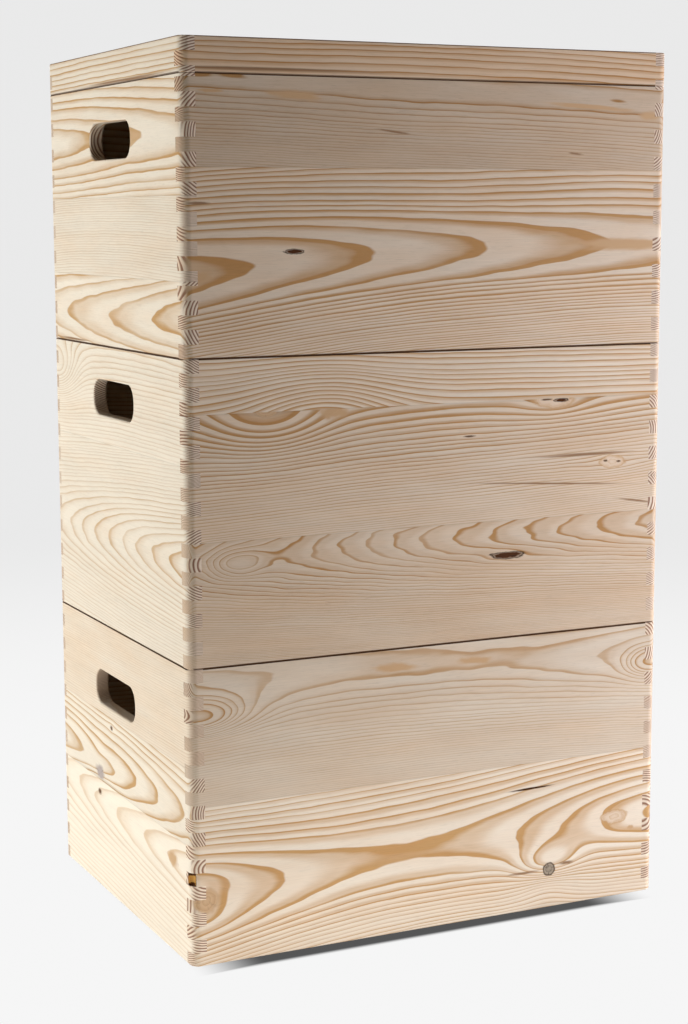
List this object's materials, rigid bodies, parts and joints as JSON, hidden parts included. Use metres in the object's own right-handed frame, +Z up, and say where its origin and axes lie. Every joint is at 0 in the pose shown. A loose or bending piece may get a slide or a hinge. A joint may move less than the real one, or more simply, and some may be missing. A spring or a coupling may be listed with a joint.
{
  "type": "wooden toy box",
  "caption": "Stack of finger-jointed pine toy boxes with hand holes in the ends; each box nests on the one below and the top one has a hinged lid.",
  "frame": {"origin": "centre of the footprint, on the surface that the stack stands on", "axes": "+X right along the long front, +Y from the front to the hinged back, +Z up"},
  "size_m": [0.4, 0.3, 0.671],
  "materials": {
    "pine_board": "sanded, unfinished edge-glued pine",
    "pine_runner": "planed, unfinished pine batten",
    "plywood": "sanded birch-faced plywood",
    "steel_fixings": "bright zinc-plated steel",
    "brass_fittings": "brass-plated steel"
  },
  "bodies": {
    "bottom_box": {"bottom_back_lower_board": "pine_board", "bottom_back_upper_board": "pine_board", "bottom_floor": "plywood", "bottom_front_lower_board": "pine_board", "bottom_front_upper_board": "pine_board", "bottom_left_centre_board": "pine_board", "bottom_left_lower_board": "pine_board", "bottom_left_runner": "pine_runner", "bottom_left_upper_board": "pine_board", "bottom_right_lower_board": "pine_board", "bottom_right_runner": "pine_runner", "bottom_right_upper_board": "pine_board", "bottom_runner_nails": "steel_fixings"},
    "middle_box": {"middle_back_lower_board": "pine_board", "middle_back_upper_board": "pine_board", "middle_floor": "plywood", "middle_front_centre_board": "pine_board", "middle_front_lower_board": "pine_board", "middle_front_upper_board": "pine_board", "middle_left_lower_board": "pine_board", "middle_left_runner": "pine_runner", "middle_left_upper_board": "pine_board", "middle_right_lower_board": "pine_board", "middle_right_runner": "pine_runner", "middle_right_upper_board": "pine_board", "middle_runner_nails": "steel_fixings"},
    "top_box": {"hinge_box_screws": "brass_fittings", "left_hinge_box_leaf": "brass_fittings", "left_hinge_pin": "brass_fittings", "right_hinge_box_leaf": "brass_fittings", "right_hinge_pin": "brass_fittings", "top_back_lower_board": "pine_board", "top_back_upper_board": "pine_board", "top_floor": "plywood", "top_front_lower_board": "pine_board", "top_front_upper_board": "pine_board", "top_left_centre_board": "pine_board", "top_left_lower_board": "pine_board", "top_left_runner": "pine_runner", "top_left_upper_board": "pine_board", "top_right_lower_board": "pine_board", "top_right_runner": "pine_runner", "top_right_upper_board": "pine_board", "top_runner_nails": "steel_fixings"},
    "lid": {"hinge_lid_screws": "brass_fittings", "left_hinge_lid_leaf": "brass_fittings", "lid_back_rail": "pine_board", "lid_front_rail": "pine_board", "lid_left_rail": "pine_board", "lid_panel": "plywood", "lid_right_rail": "pine_board", "right_hinge_lid_leaf": "brass_fittings"}
  },
  "joints": [
    {"name": "middle_box_lift", "type": "slide", "parent": "bottom_box", "child": "middle_box", "axis": [0, 0, 1], "range_m": [0, 0.25]},
    {"name": "top_box_lift", "type": "slide", "parent": "middle_box", "child": "top_box", "axis": [0, 0, 1], "range_m": [0, 0.25]},
    {"name": "lid_hinge", "type": "hinge", "parent": "top_box", "child": "lid", "pos_m": [0, 0.1477, 0.646], "axis": [-1, 0, 0], "range_deg": [0, 95]}
  ]
}
